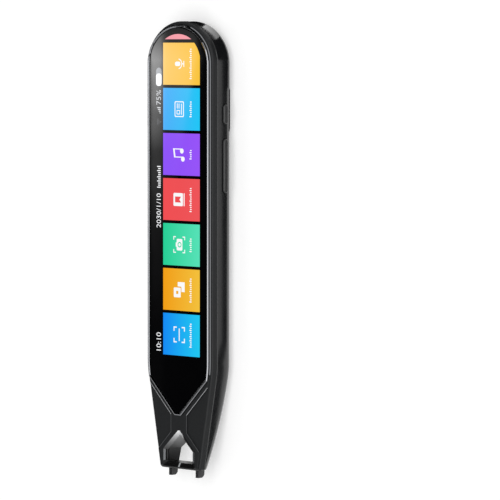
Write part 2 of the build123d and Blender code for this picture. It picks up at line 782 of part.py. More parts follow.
def key_carrier(name, side, keys):
    """Upright steel bracket, with the flex and its domes, behind the keys of one side."""
    y_low = min(min(span) for span, _ in keys) - key_bracket_margin
    y_high = max(max(span) for span, _ in keys) + key_bracket_margin
    with BuildPart() as flex:
        flex_z = (key_z - key_flex_height / 2, key_z + key_flex_height / 2)
        box((side * key_flex_back, side * dome_base), (y_low, y_high), flex_z)
        with BuildSketch(Plane.YZ.offset(side * dome_base)):
            with Locations(*[(y, key_z) for _, nub_y in keys for y in nub_y]):
                Circle(dome_radius)
        extrude(amount=side * dome_height, taper=dome_taper)
    save(flex, name + "_key_flex")
    with BuildPart() as bracket:
        box((side * bracket_back, side * key_flex_back), (y_low, y_high), (floor_top, board_top))
    save(bracket, name + "_key_bracket")


power_nubs = side_key("power_key", 1, power_key_y, rocker=False)
volume_nubs = side_key("volume_key", 1, volume_key_y, rocker=True)
voice_nubs = side_key("voice_key", -1, voice_key_y, rocker=False)
key_carrier("right", 1, [(power_key_y, power_nubs), (volume_key_y, volume_nubs)])
key_carrier("left", -1, [(voice_key_y, voice_nubs)])

# ---- main board ----------------------------------------------------------------------------------
with BuildPart() as main_board:
    with BuildSketch(Plane.XY.offset(board_base)):
        add(pen_outline(0, wall + board_gap))
        with Locations((0, board_bottom_y)):
            Rectangle(2 * board_half_width, crown_y, align=FROM_BELOW, mode=Mode.INTERSECT)
        with Locations((0, usb_y[0])):
            Rectangle(usb_width + 2 * seat_gap, crown_y, align=FROM_BELOW, mode=Mode.SUBTRACT)
        with Locations(*board_screws_at):
            Circle(screw_radius + seat_gap, mode=Mode.SUBTRACT)
    extrude(amount=board_thickness)
save(main_board, "main_board")

with BuildPart() as board_screws:
    with BuildSketch(Plane.XY.offset(board_top)):
        with Locations(*board_screws_at):
            Circle(screw_head_radius)
    extrude(amount=screw_head)
    with BuildSketch(Plane.XY.offset(board_top)):
        with Locations(*board_screws_at):
            Circle(screw_radius)
    extrude(amount=-screw_length)
save(board_screws, "board_screws")

shield_y_span = (shield_y - shield_size[1] / 2, shield_y + shield_size[1] / 2)
shield_x_span = (-shield_size[0] / 2, shield_size[0] / 2)
with BuildPart() as shield_can:
    box(shield_x_span, shield_y_span, (board_top, board_top + shield_size[2]))
    fillet(shield_can.edges().filter_by(Axis.Z), shield_corner)
    offset(amount=-shield_wall, openings=shield_can.faces().sort_by(Axis.Z)[0], kind=Kind.INTERSECTION)
save(shield_can, "shield_can")

for name, y, size in (
    ("processor", shield_y - chip_offset, processor_size),
    ("memory_chip", shield_y + chip_offset, memory_size),
    ("power_chip", crown_y - power_chip_reach, power_chip_size),
):
    with BuildPart() as chip:
        chip_x = (-size[0] / 2, size[0] / 2)
        box(chip_x, (y - size[1] / 2, y + size[1] / 2), (board_top, board_top + size[2]))
    save(chip, name)

with BuildPart() as board_connectors:
    box(display_flex_x, connector_y, (board_top, plate_back - flex_thickness))
    box(scan_flex_x, connector_y, (board_top + flex_thickness, board_top + flex_thickness + connector_height))
save(board_connectors, "board_connectors")

with BuildPart() as display_flex:
    display_flex_y = (display_bottom + display_flex_inset, connector_y[1])
    box(display_flex_x, display_flex_y, (plate_back - flex_thickness, plate_back))
save(display_flex, "display_flex")

with BuildPart() as antenna_flex:
    antenna_y = (board_screw_y[1] - antenna_length / 2, board_screw_y[1] + antenna_length / 2)
    box((-antenna_half_width, antenna_half_width), antenna_y, (floor_top, floor_top + key_flex_thickness))
save(antenna_flex, "antenna_flex")

with BuildPart() as microphone:
    mic_y = (usb_y[0] - mic_size[1], usb_y[0])
    mic_span = (mic_x - mic_size[0] / 2, mic_x + mic_size[0] / 2)
    box(mic_span, mic_y, (board_top, board_top + mic_size[2]))
save(microphone, "microphone")

with BuildPart() as usb_port:
    with BuildSketch(Plane.XZ.offset(-usb_y[1])):
        with Locations((0, usb_z)):
            SlotOverall(usb_width, usb_height)
            SlotOverall(usb_width - 2 * usb_wall, usb_height - 2 * usb_wall, mode=Mode.SUBTRACT)
    extrude(amount=usb_length)
    with BuildSketch(Plane.XZ.offset(-usb_y[0] - usb_wall)):
        with Locations((0, usb_z)):
            SlotOverall(usb_width, usb_height)
    extrude(amount=usb_wall)
    tongue_z = (usb_z - usb_tongue / 2, usb_z + usb_tongue / 2)
    box((-tongue_half_width, tongue_half_width), (usb_y[0], usb_y[1] - tongue_setback), tongue_z)
save(usb_port, "usb_port")

# ---- battery and speaker -------------------------------------------------------------------------
battery_half_width = half_width - wall - battery_side_gap
battery_x = (-battery_half_width, battery_half_width)
battery_span = (nose_end + battery_rise, board_bottom_y - battery_board_gap)
pad_top = floor_top + pad_thickness
with BuildPart() as battery:
    box(battery_x, battery_span, (pad_top, board_top))
    fillet(battery.edges().filter_by(Axis.Y), battery_round)
save(battery, "battery")

with BuildPart() as battery_pad:
    pad_x = (battery_x[0] + pad_margin, battery_x[1] - pad_margin)
    pad_y = (battery_span[0] + pad_margin, battery_span[1] - pad_margin)
    box(pad_x, pad_y, (floor_top, pad_top))
save(battery_pad, "battery_pad")

with BuildPart() as battery_lead:
    lead_y = (battery_span[1] - pad_margin, board_bottom_y + pad_margin)
    box((-lead_half_width, lead_half_width), lead_y, (board_top, board_top + lead_thickness))
save(battery_lead, "battery_lead")

speaker_x = (-speaker_size[0] / 2, speaker_size[0] / 2)
speaker_span = (speaker_y - speaker_size[1] / 2, speaker_y + speaker_size[1] / 2)
gasket_top = floor_top + gasket_thickness
with BuildPart() as speaker:
    box(speaker_x, speaker_span, (gasket_top, board_base - speaker_gap))
    fillet(speaker.edges().filter_by(Axis.Z), shield_corner)
save(speaker, "speaker")

gasket_x = (speaker_x[0] + gasket_width, speaker_x[1] - gasket_width)
gasket_y = (speaker_span[0] + gasket_width, speaker_span[1] - gasket_width)
with BuildPart() as speaker_gasket:
    box(speaker_x, speaker_span, (floor_top, gasket_top))
    box(gasket_x, gasket_y, (floor_top, gasket_top), Mode.SUBTRACT)
save(speaker_gasket, "speaker_gasket")

with BuildPart() as speaker_mesh:
    box(gasket_x, gasket_y, (floor_top, floor_top + mesh_thickness))
    fillet(speaker_mesh.edges().filter_by(Axis.Z), shield_corner)
save(speaker_mesh, "speaker_mesh")

# ---- rear camera ---------------------------------------------------------------------------------
pocket_floor = back_plane + island_recess
ring_radius = rear_camera_radius + rear_ring_width
with BuildPart() as camera_island:
    with BuildSketch():
        with Locations((0, island_mid)):
            RectangleRounded(2 * island_half_width, length(island_y), island_corner)
        with Locations((rear_camera_x, island_mid)):
            Circle(ring_radius + seat_gap, mode=Mode.SUBTRACT)
        with Locations((flash_x, island_mid)):
            Circle(flash_radius + seat_gap, mode=Mode.SUBTRACT)
    extrude(amount=pocket_floor)
    fillet(camera_island.faces().sort_by(Axis.Z)[0].outer_wire().edges(), island_round)
save(camera_island, "camera_island")

glass_ledge = pocket_floor - rear_ledge_height
with BuildPart() as rear_camera_ring:
    with BuildSketch(Plane.XY.offset(rear_ring_setback)):
        with Locations((rear_camera_x, island_mid)):
            Circle(ring_radius)
            Circle(rear_camera_radius, mode=Mode.SUBTRACT)
    extrude(amount=pocket_floor - rear_ring_setback)
    with BuildSketch(Plane.XY.offset(glass_ledge)):
        with Locations((rear_camera_x, island_mid)):
            Circle(ring_radius)
            Circle(rear_camera_radius - rear_ledge, mode=Mode.SUBTRACT)
    extrude(amount=rear_ledge_height)
save(rear_camera_ring, "rear_camera_ring")

with BuildPart() as rear_camera_glass:
    with BuildSketch(Plane.XY.offset(glass_ledge - rear_glass_thickness)):
        with Locations((rear_camera_x, island_mid)):
            Circle(rear_camera_radius - seat_gap)
    extrude(amount=rear_glass_thickness)
save(rear_camera_glass, "rear_camera_glass")

with BuildPart() as rear_camera:
    module_x = (rear_camera_x - rear_module_size / 2, rear_camera_x + rear_module_size / 2)
    module_y = (island_mid - rear_module_size / 2, island_mid + rear_module_size / 2)
    box(module_x, module_y, (floor_top, board_base - rear_module_gap))
save(rear_camera, "rear_camera")

with BuildPart() as flash_lens:
    with BuildSketch(Plane.XY.offset(rear_ring_setback)):
        with Locations((flash_x, island_mid)):
            Circle(flash_radius)
    extrude(amount=pocket_floor - rear_ring_setback)
save(flash_lens, "flash_lens")

with BuildPart() as flash_led:
    led_span = (flash_x - flash_led_size[0] / 2, flash_x + flash_led_size[0] / 2)
    led_y = (island_mid - flash_led_size[0] / 2, island_mid + flash_led_size[0] / 2)
    box(led_span, led_y, (floor_top, floor_top + flash_led_size[1]))
save(flash_led, "flash_led")
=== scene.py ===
"""Looks of the scanning translator pen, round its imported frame.

Sizes are in millimetres and are turned to Blender's metres by MM. X runs across the pen, +Y towards its
round crown, +Z out of the screen, and the pen lies on its back on z = 0. What the screen shows is a layer
of thin lit plates on the cover glass.
"""

from math import atan, cos, pi, radians, sin, sqrt

import bmesh
import bpy
from mathutils import Matrix, Vector
from mathutils.geometry import tessellate_polygon


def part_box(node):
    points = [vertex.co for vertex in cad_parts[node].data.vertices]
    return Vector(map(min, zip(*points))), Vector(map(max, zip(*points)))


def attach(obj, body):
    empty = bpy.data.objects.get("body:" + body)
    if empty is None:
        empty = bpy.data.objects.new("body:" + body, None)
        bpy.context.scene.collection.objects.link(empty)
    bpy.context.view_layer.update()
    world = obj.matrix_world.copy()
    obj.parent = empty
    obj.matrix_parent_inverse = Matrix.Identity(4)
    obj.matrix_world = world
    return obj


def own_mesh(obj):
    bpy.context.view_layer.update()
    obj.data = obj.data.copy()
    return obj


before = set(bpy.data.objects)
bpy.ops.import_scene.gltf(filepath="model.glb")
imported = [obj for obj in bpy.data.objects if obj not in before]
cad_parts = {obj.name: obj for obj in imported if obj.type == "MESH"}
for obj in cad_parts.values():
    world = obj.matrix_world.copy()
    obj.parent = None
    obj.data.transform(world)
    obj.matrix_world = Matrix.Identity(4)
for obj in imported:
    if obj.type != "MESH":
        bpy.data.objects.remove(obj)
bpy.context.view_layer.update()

MM = 0.001

# ---- places on the pen ---------------------------------------------------------------------------
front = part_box("bezel_ring")[1].z / MM
glass_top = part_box("cover_glass")[1].z / MM
half_width, nose_half_width = 15.8, 9.63
crown_centre = 61.0  # of the crown's arc, on the middle line

# ---- finishes ------------------------------------------------------------------------------------
grain_reach = {"From Min": 0.3, "From Max": 0.7}  # where nearly all of a noise's values lie
grain_depth = 0.8  # strength of a relief
handled_patch = 12.0  # size of the patches that hands leave in a gloss
stripe_blur, stripe_relief, stripe_depth = 0.15, 0.02, 0.6
weave_pitch, weave_relief = 0.3, 0.06
painted_light_x, painted_light_y = (2.2, 1.6), (-76.5, -61.5)  # where the liner's painted patch of light fades in
painted_light_fall = 5.0  # how steeply the painted light fades down the window

# ---- the screen's picture ------------------------------------------------------------------------
layer = 0.03  # thickness of a lit plate
tile_left, tile_right = -7.15, 10.35
tile_top = 69.68
tile_pitch, tile_height = 15.2, 14.15
arch_middle, arch_radius = 62.1, 10.8  # the lit area's round end
cap_middle, cap_radius, cap_chord = 60.4, 12.2, 70.85  # the next tile, cut by that end
tile_colours = (
    ("amber", "#fbca66", "#f9c43c"),
    ("sky", "#42acf7", "#1fc6f6"),
    ("violet", "#8b50f8", "#9754f8"),
    ("red", "#ef4c50", "#ee5559"),
    ("green", "#22cf94", "#56e2b7"),
    ("orange", "#f19d10", "#f3c03b"),
    ("blue", "#1388f4", "#20c8f0"),
)
icon_x, label_x, status_x = 0.6, 6.0, -9.2
label_lengths = (11.0, 6.2, 3.5, 9.0, 5.0, 9.0, 9.0)
bar_step, bar_width, bar_corner = 0.7, 0.36, 0.12
bar_rises = (1.0, 0.72, 0.72, 1.0, 0.72)  # tall and low bars, over and over
battery_y, battery_shape = 58.2, (2.7, 6.2, 1.3)  # width, length and corner
charge_y, charge_shape = 57.2, (2.7, 4.2, 1.0)
percent_y, percent_height = 51.2, 3.1
signal_y, waves_y = 46.9, 43.0
date_word_y, date_word_length, date_word_height = 24.4, 8.0, 1.7
date_y, date_height = 13.0, 2.9
clock_y, clock_height = -31.7, 3.1

# ---- the nose's painted edge highlights ----------------------------------------------------------
nose_band_drop = 0.65  # under the bezel ring
edge_line = (0.1, 0.28)  # how far the two sides of each painted highlight line lie inside the raised band's edge
waist = 3.9  # half the band's width where its arms and legs part
arm_meet, leg_meet = -59.7, -57.8  # where the arms' edges, and the legs', would cross on the middle line
arm_end, leg_end = 13.7, 9.6  # how far out they run

# ---- camera --------------------------------------------------------------------------------------
image_px = 500
sensor_width = 36.0
camera_distance = 1200.0
camera_turn = 45.5  # degrees from straight above the screen, to the pen's right
camera_lift = 3.3  # degrees towards the crown
px_per_mm = 2.97  # at the front of the pen
axis_px = 177.3  # column that the pen's middle line stands in
clip_near, clip_far = 10.0, 30000.0

# ---- floor, sky and lamp -------------------------------------------------------------------------
floor_side = 8000.0
floor_tones, floor_mottle = ("#d8d8d8", "#dcdcdc"), 40.0
floor_lift = 0.44  # what the floor adds for the camera, so that it is white where nothing shades it
floor_gap = 0.03
sky_for_light = 0.5
softbox_tilt = 24.0  # degrees from straight above, to the pen's right
softbox_distance = 1150.0
softbox_size = (900.0, 1350.0)
softbox_radiance = 1.9

# ---- the card that the glass mirrors -------------------------------------------------------------
card_distance = 600.0
card_size = (1020.0, 1200.0)
card_shift = 250.0  # towards the crown, so that the ring's V mirrors the bright room past the card
# its glow, as places on the glass that show it, and levels of light there
glow_span_x, glow_across = (-14.0, -6.0), ((-13.36, 0.0), (-12.9, 1.0), (-8.0, 0.8), (-6.96, 0.16))
glow_span_y = (-25.0, 75.0)
glow_along = ((-25, 0.003), (6.7, 0.02), (33.7, 0.11), (54, 0.6), (64, 0.9), (70, 0.5), (75, 0.3))
glow_limit_x, glow_limit_y = (-1.0, 9.0), (25.0, 66.0)  # the slanted line that ends it on the right
glow_limit_blur = 1.0
glow_strength = 8.0
glow_spread = (1.054, 1.5)  # across and along: from 1 mm on the glass to what it mirrors on the card
glow_shift = -34.6  # of the mirrored places along the card, before the card's own shift

# ---- cards on the table --------------------------------------------------------------------------
low_levels, card_levels = (0.05, 0.1), (0.2, 0.3)  # z of their two sides
black_strips = (3.4, 5.8, 5.3, 8.7)  # near and far of a strip outside the pen's edge, then its nose's
white_strips = (-3.5, 2.9, -3.5, 5.0)
crown_near = 1.5  # near of either strip beside the crown
strip_points = (  # the edge that they follow: half the width there, and y
    (half_width, 67.0),
    (half_width, 55.0),
    (half_width, 53.0),
    (half_width, -30.4),
    (half_width, -38.4),
    (nose_half_width, -74.3),
    (nose_half_width - 1.5, -82.3),
)
collar_radii, collar_arcs = (17.0, 42.0), ((11, 49), (80, 180))  # black, round the crown
glare_arc = (49, 80)  # between them, for a glare on the crown's right
glare_radii, shade_radii = (15.7, 20.7), (20.7, 25.9)  # the lit card, and the black one behind it
glare_run, glare_levels = (15.5, 20.5), (0.5, 3.0)  # its light grows with the distance from the centre
white_strength = 1.5
island_card = (14.65, 47.25, 1.9, 14.6)  # x, y, width and length of the black card by the camera island
left_cards = ((-96, 174, 108, 268), (-31.5, 50, 20.5, 20))  # for the bead and the window's lower lip
left_wall, left_wall_levels = (-151, 225, 1, 450), (0.3, 90)
high_card, high_levels = (-4, 0, 190, 420), (1000, 1001)  # for a black screen from straight above


# ---- how materials are made ----------------------------------------------------------------------
def linear(hex_code):
    """An sRGB hex colour as linear RGBA."""
    parts = [int(hex_code[i : i + 2], 16) / 255 for i in (1, 3, 5)]
    return [p / 12.92 if p <= 0.04045 else ((p + 0.055) / 1.055) ** 2.4 for p in parts] + [1.0]


def add_node(tree, kind, inputs=None, **settings):
    """Adds a node with its settings. Each input gets a value, or the socket that feeds it."""
    made = tree.nodes.new(kind)
    for name, value in settings.items():
        setattr(made, name, value)
    for name, value in (inputs or {}).items():
        if isinstance(value, bpy.types.NodeSocket):
            tree.links.new(value, made.inputs[name])
        else:
            made.inputs[name].default_value = value
    return made


def noise_scale(grain):
    """The noise texture's scale for a grain of that size in millimetres."""
    return 1 / (grain * MM)


def wave_scale(pitch):
    """The wave texture's scale for one band every pitch millimetres."""
    return 2 * pi / (20 * pitch * MM)


def empty_material(name):
    """A material with an empty tree, and the coordinates that its patterns follow."""
    material = bpy.data.materials.new(name)
    material.use_nodes = True
    tree = material.node_tree
    tree.nodes.clear()
    place = add_node(tree, "ShaderNodeTexCoord").outputs["Object"]
    return material, tree, place


def surface(name, tones, rough, grain, relief, stretch=(1.0, 1.0, 1.0), handled=0.0, **shading):
    """A material whose tone, gloss and relief follow one grain of a real size, in millimetres. handled is
    how much its gloss wanders over larger patches, as where hands have polished or smeared it."""
    material, tree, place = empty_material(name)
    placed = add_node(tree, "ShaderNodeMapping", {"Vector": place, "Scale": stretch}).outputs["Vector"]
    fac = add_node(
        tree, "ShaderNodeTexNoise", {"Vector": placed, "Scale": noise_scale(grain), "Detail": 3.0}
    ).outputs["Fac"]
    mixed = {"Factor": fac, "A": linear(tones[0]), "B": linear(tones[1])}
    tone = add_node(tree, "ShaderNodeMix", mixed, data_type="RGBA")
    gloss = add_node(
        tree,
        "ShaderNodeMapRange",
        {"Value": fac, **grain_reach, "To Min": rough[0], "To Max": rough[1]},
    )
    touch = add_node(
        tree, "ShaderNodeTexNoise", {"Vector": place, "Scale": noise_scale(handled_patch), "Detail": 2.0}
    ).outputs["Fac"]
    wander = add_node(
        tree,
        "ShaderNodeMapRange",
        {"Value": touch, **grain_reach, "To Min": -handled, "To Max": handled},
    )
    roughness = add_node(
        tree, "ShaderNodeMath", {0: gloss.outputs["Result"], 1: wander.outputs["Result"]}, operation="ADD"
    )
    bump = add_node(
        tree, "ShaderNodeBump", {"Height": fac, "Distance": relief * MM, "Strength": grain_depth}
    )
    shader = add_node(
        tree,
        "ShaderNodeBsdfPrincipled",
        {
            "Base Color": tone.outputs["Result"],
            "Roughness": roughness.outputs[0],
            "Normal": bump.outputs["Normal"],
            **shading,
        },
    )
    add_node(tree, "ShaderNodeOutputMaterial", {"Surface": shader.outputs["BSDF"]})
    return material


def striped_surface(name, ground, line, pitch, width, rough):
    """A material with straight lines along the pen, such as a flex's copper. width is their share."""
    material, tree, place = empty_material(name)
    wave = add_node(tree, "ShaderNodeTexWave", {"Vector": place, "Scale": wave_scale(pitch)})
    mask = add_node(
        tree,
        "ShaderNodeMapRange",
        {
            "Value": wave.outputs["Fac"],
            "From Min": 1 - width - stripe_blur,
            "From Max": 1 - width + stripe_blur,
        },
    )
    mixed = {"Factor": mask.outputs["Result"], "A": linear(ground), "B": linear(line)}
    tone = add_node(tree, "ShaderNodeMix", mixed, data_type="RGBA")
    bump = add_node(
        tree,
        "ShaderNodeBump",
        {"Height": mask.outputs["Result"], "Distance": stripe_relief * MM, "Strength": stripe_depth},
    )
    shader = add_node(
        tree,
        "ShaderNodeBsdfPrincipled",
        {
            "Base Color": tone.outputs["Result"],
            "Roughness": rough,
            "Normal": bump.outputs["Normal"],
        },
    )
    add_node(tree, "ShaderNodeOutputMaterial", {"Surface": shader.outputs["BSDF"]})
    return material


def lit_layer(name, left, right):
    """What one lit plate of the screen shows: its colour runs from left to right, under a gloss."""
    material, tree, place = empty_material(name)
    across = add_node(tree, "ShaderNodeSeparateXYZ", {"Vector": place}).outputs["X"]
    run = add_node(
        tree,
        "ShaderNodeMapRange",
        {"Value": across, "From Min": tile_left * MM, "From Max": tile_right * MM},
    )
    mixed = {"Factor": run.outputs["Result"], "A": linear(left), "B": linear(right)}
    tone = add_node(tree, "ShaderNodeMix", mixed, data_type="RGBA")
    shader = add_node(
        tree,
        "ShaderNodeBsdfPrincipled",
        {
            "Base Color": linear("#050506"),
            "Roughness": 0.03,
            "IOR": 1.5,
            "Emission Color": tone.outputs["Result"],
            "Emission Strength": 1.0,
        },
    )
    add_node(tree, "ShaderNodeOutputMaterial", {"Surface": shader.outputs["BSDF"]})
    return material


# ---- the pen's finishes --------------------------------------------------------------------------
def abs_shell():
    """Black ABS with a semi-gloss lacquer: its rounded sides mirror the table and the lamps softly. The
    lacquer's 0.1 mm orange peel is drawn at 0.45 mm so that it shows."""
    return surface(
        "lacquered_abs",
        ("#141516", "#1b1c1e"),
        rough=(0.16, 0.22),
        grain=0.45,
        relief=0.003,
        handled=0.02,
        IOR=1.5,
    )


def frame_shell():
    """The same black ABS with a matt soft-touch lacquer: its flats are charcoal, with hardly a sheen on
    its edges. The lacquer's 0.1 mm orange peel is drawn at 0.45 mm."""
    return surface(
        "soft_touch_abs",
        ("#252627", "#2c2d2e"),
        rough=(0.34, 0.42),
        grain=0.45,
        relief=0.004,
        handled=0.02,
        IOR=1.5,
        **{"Specular IOR Level": 0.14},
    )


def black_chrome():
    """Black chrome plated over polished ABS: a dark mirror, so the bead shows as thin bright lines."""
    return surface(
        "black_chrome",
        ("#7e7f82", "#838487"),
        rough=(0.08, 0.1),
        grain=3.0,
        relief=0.0,
        Metallic=1.0,
    )


def bordered_glass():
    """Soda-lime cover glass with a black printed border and a dark screen behind it: black and mirror
    smooth, with a faint trace of wiping in its gloss."""
    return surface(
        "bordered_glass",
        ("#040405", "#060607"),
        rough=(0.02, 0.04),
        grain=6.0,
        relief=0.0,
        stretch=(1.0, 0.3, 1.0),
        handled=0.012,
        IOR=1.5,
    )


def liner_with_painted_light():
    """Black polycarbonate liner with painted light on its upper left walls, standing in for the scan
    light that falls there: a bright, fading patch at the window's apex, and a soft black elsewhere."""
    material, tree, place = empty_material("liner_with_painted_light")
    split = add_node(tree, "ShaderNodeSeparateXYZ", {"Vector": place})
    grain = add_node(tree, "ShaderNodeTexNoise", {"Vector": place, "Scale": noise_scale(0.8)})
    down = add_node(
        tree,
        "ShaderNodeMapRange",
        {"Value": split.outputs["Y"], "From Min": painted_light_y[0] * MM, "From Max": painted_light_y[1] * MM},
    )
    beside = add_node(
        tree,
        "ShaderNodeMapRange",
        {"Value": split.outputs["X"], "From Min": painted_light_x[0] * MM, "From Max": painted_light_x[1] * MM},
    )
    fading = add_node(
        tree, "ShaderNodeMath", {0: down.outputs["Result"], 1: painted_light_fall}, operation="POWER"
    )
    # painted light: this mask sets where the liner turns pale, as if lit, near the window's apex
    patch = add_node(
        tree, "ShaderNodeMath", {0: fading.outputs[0], 1: beside.outputs["Result"]}, operation="MULTIPLY"
    )
    mixed = {"Factor": patch.outputs[0], "A": linear("#09090a"), "B": linear("#f2f3f4")}
    tone = add_node(tree, "ShaderNodeMix", mixed, data_type="RGBA")
    gloss = add_node(
        tree, "ShaderNodeMapRange", {"Value": grain.outputs["Fac"], "To Min": 0.36, "To Max": 0.48}
    )
    shader = add_node(
        tree,
        "ShaderNodeBsdfPrincipled",
        {
            "Base Color": tone.outputs["Result"],
            "Roughness": gloss.outputs["Result"],
            "IOR": 1.5,
            "Specular IOR Level": 0.2,
        },
    )
    add_node(tree, "ShaderNodeOutputMaterial", {"Surface": shader.outputs["BSDF"]})
    return material


def frosted_guide():
    """Frosted acrylic light guide: pale grey with a soft cloudy inside."""
    return surface(
        "frosted_acrylic",
        ("#6f7174", "#85878a"),
        rough=(0.35, 0.5),
        grain=0.35,
        relief=0.004,
        IOR=1.49,
        **{"Transmission Weight": 0.25},
    )


def pale_tick():
    """The sighting mark: pale grey acrylic inlay, satin."""
    return surface(
        "white_acrylic",
        ("#9a9c9e", "#acaeb0"),
        rough=(0.3, 0.4),
        grain=0.3,
        relief=0.002,
        IOR=1.49,
    )


def nylon_prong():
    """Glass-filled nylon: a dull grey-black with a slightly mottled skin."""
    return surface(
        "filled_nylon",
        ("#1b1b1d", "#29292b"),
        rough=(0.42, 0.58),
        grain=0.4,
        relief=0.01,
        handled=0.05,
        IOR=1.53,
    )


def satin_key():
    """Polycarbonate keys: duller than the lacquered shell round them, with a thin line on their edges."""
    return surface(
        "satin_key",
        ("#131415", "#1a1b1c"),
        rough=(0.3, 0.38),
        grain=0.35,
        relief=0.004,
        handled=0.04,
        IOR=1.58,
    )


def gloss_island():
    """Back-printed acrylic plate of the camera island: deep gloss black."""
    return surface(
        "printed_acrylic",
        ("#050506", "#08080a"),
        rough=(0.03, 0.06),
        grain=4.0,
        relief=0.0,
        IOR=1.49,
    )


def anodised_ring():
    """Turned and dark anodised aluminium: turning lines 0.06 mm apart give it a soft metal glint."""
    return surface(
        "anodised_ring",
        ("#5a5b5f", "#77787c"),
        rough=(0.2, 0.32),
        grain=0.25,
        relief=0.004,
        stretch=(1.0, 1.0, 4.0),
        Metallic=1.0,
    )


def lens_barrel():
    """Black anodised barrel: dark, matt, with a little metal in its sheen."""
    return surface(
        "barrel_black",
        ("#101012", "#19191b"),
        rough=(0.4, 0.5),
        grain=0.3,
        relief=0.004,
        Metallic=0.35,
    )


def stamped_steel():
    """Rolled stainless sheet: bright, with rolling lines along the pen, drawn at 0.3 mm."""
    return surface(
        "rolled_steel",
        ("#a6a7a8", "#c3c4c5"),
        rough=(0.24, 0.36),
        grain=0.3,
        relief=0.003,
        stretch=(1.0, 0.06, 1.0),
        Metallic=1.0,
    )


def spring_wire():
    """Drawn music wire: bright, with fine drawing lines."""
    return surface(
        "drawn_wire",
        ("#9b9c9e", "#bdbec0"),
        rough=(0.2, 0.3),
        grain=0.2,
        relief=0.002,
        stretch=(1.0, 0.2, 1.0),
        Metallic=1.0,
    )


def zinc_screw():
    """Zinc plated steel: a cool grey metal with a slightly cloudy skin."""
    return surface(
        "zinc_plate",
        ("#8d9096", "#aeb1b8"),
        rough=(0.25, 0.4),
        grain=0.5,
        relief=0.003,
        Metallic=1.0,
    )


def port_shell():
    """Deep-drawn stainless tube of the inlet, polished by the die."""
    return surface(
        "drawn_shell",
        ("#a9aaac", "#c8c9cb"),
        rough=(0.16, 0.26),
        grain=0.4,
        relief=0.002,
        stretch=(1.0, 0.1, 1.0),
        Metallic=1.0,
    )


def foam_tape():
    """Closed-cell foam tape: dull charcoal with 0.3 mm cells."""
    return surface(
        "foam_tape",
        ("#232323", "#343434"),
        rough=(0.85, 0.95),
        grain=0.3,
        relief=0.03,
        IOR=1.45,
    )


def epoxy_chip():
    """Moulded epoxy package: matt charcoal with a sanded look, drawn at 0.2 mm."""
    return surface(
        "moulded_epoxy",
        ("#1c1d1e", "#2a2b2c"),
        rough=(0.55, 0.7),
        grain=0.2,
        relief=0.005,
        IOR=1.55,
    )


def pouch_foil():
    """Aluminium-laminated pouch: silver grey with shallow 3 mm waves in its skin."""
    return surface(
        "pouch_foil",
        ("#9fa3a8", "#babdc1"),
        rough=(0.3, 0.42),
        grain=3.0,
        relief=0.06,
        Metallic=0.85,
    )


def speaker_box():
    """Liquid-crystal polymer box: dull black with a flowed, streaky skin."""
    return surface(
        "polymer_box",
        ("#161617", "#242425"),
        rough=(0.5, 0.62),
        grain=0.6,
        relief=0.006,
        stretch=(1.0, 0.3, 1.0),
        IOR=1.55,
    )


def milky_diffuser():
    """Milky polycarbonate over the flash: warm white and softly translucent."""
    return surface(
        "milky_diffuser",
        ("#e6e2d2", "#f0ecdf"),
        rough=(0.25, 0.35),
        grain=0.5,
        relief=0.003,
        IOR=1.58,
        **{"Subsurface Weight": 0.25, "Subsurface Radius": (MM, MM, MM), "Subsurface Scale": 0.6},
    )


def lamp_phosphor():
    """Silicone with phosphor over the lamp chips: soft yellow with fine grain."""
    return surface(
        "lamp_phosphor",
        ("#e2c75a", "#f0dc86"),
        rough=(0.4, 0.5),
        grain=0.15,
        relief=0.004,
        IOR=1.41,
    )


def smoked_lamps():
    """Scan lamps that are off, behind smoked epoxy: black with a clear gloss."""
    return surface(
        "smoked_epoxy",
        ("#0a0a0b", "#121213"),
        rough=(0.15, 0.25),
        grain=0.5,
        relief=0.001,
        IOR=1.54,
    )


def dark_panel():
    """Laminated display cell: nearly black with a faint blue cast."""
    return surface(
        "display_cell",
        ("#07080b", "#0c0e12"),
        rough=(0.12, 0.2),
        grain=1.0,
        relief=0.001,
        IOR=1.52,
    )


def solder_board():
    """Green solder mask over copper lines that run along the board, 0.5 mm apart."""
    return striped_surface("solder_mask", "#0d3b22", "#1c5c35", pitch=0.5, width=0.45, rough=0.32)


def amber_flex():
    """Amber polyimide film over copper lines, 0.4 mm apart."""
    return striped_surface("polyimide_film", "#8a4a14", "#b87628", pitch=0.4, width=0.5, rough=0.3)


def woven_mesh():
    """Black plain-woven steel mesh behind the grille: threads 0.12 mm apart, drawn 0.3 mm apart."""
    material, tree, place = empty_material("woven_mesh")
    threads = [
        add_node(
            tree,
            "ShaderNodeTexWave",
            {"Vector": place, "Scale": wave_scale(weave_pitch)},
            bands_direction=direction,
        ).outputs["Fac"]
        for direction in ("X", "Y")
    ]
    over = add_node(tree, "ShaderNodeMath", {0: threads[0], 1: threads[1]}, operation="MAXIMUM")
    weave = over.outputs[0]
    mixed = {"Factor": weave, "A": linear("#0b0b0c"), "B": linear("#55565a")}
    tone = add_node(tree, "ShaderNodeMix", mixed, data_type="RGBA")
    bump = add_node(
        tree, "ShaderNodeBump", {"Height": weave, "Distance": weave_relief * MM, "Strength": grain_depth}
    )
    shader = add_node(
        tree,
        "ShaderNodeBsdfPrincipled",
        {
            "Base Color": tone.outputs["Result"],
            "Metallic": 0.9,
            "Roughness": 0.35,
            "Normal": bump.outputs["Normal"],
        },
    )
    add_node(tree, "ShaderNodeOutputMaterial", {"Surface": shader.outputs["BSDF"]})
    return material


